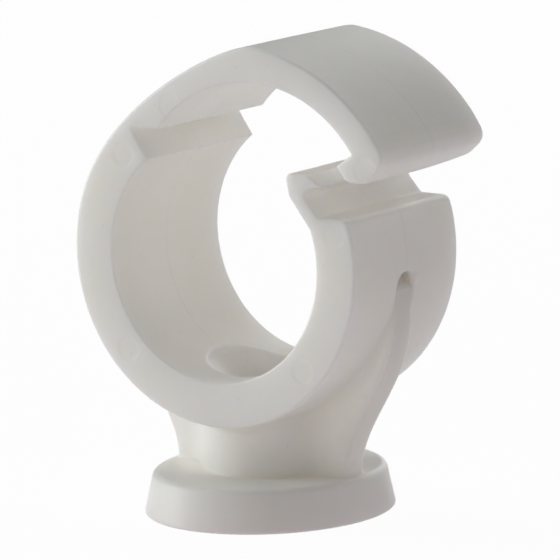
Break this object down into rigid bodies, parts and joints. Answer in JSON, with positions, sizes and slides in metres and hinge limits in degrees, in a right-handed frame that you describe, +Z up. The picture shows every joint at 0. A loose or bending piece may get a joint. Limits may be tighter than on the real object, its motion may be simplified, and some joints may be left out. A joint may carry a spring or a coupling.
{
  "type": "pipe clip",
  "caption": "Moulded hinged ring clip for a pipe, with a snap jaw, a ribbed neck with a countersunk screw hole and a round foot.",
  "frame": {"origin": "middle of the bounding box seen from above, on the flat base of the foot; the screw's axis is 1.5 mm towards -X of it", "axes": "+Z up along the screw's axis from the foot to the ring, +Y along the pipe, +X towards the snap jaw"},
  "size_m": [0.0332, 0.0242, 0.0433],
  "materials": {
    "white_plastic": "satin moulded polypropylene, off-white"
  },
  "bodies": {
    "root": {"pipe_clip": "white_plastic"}
  },
  "joints": []
}
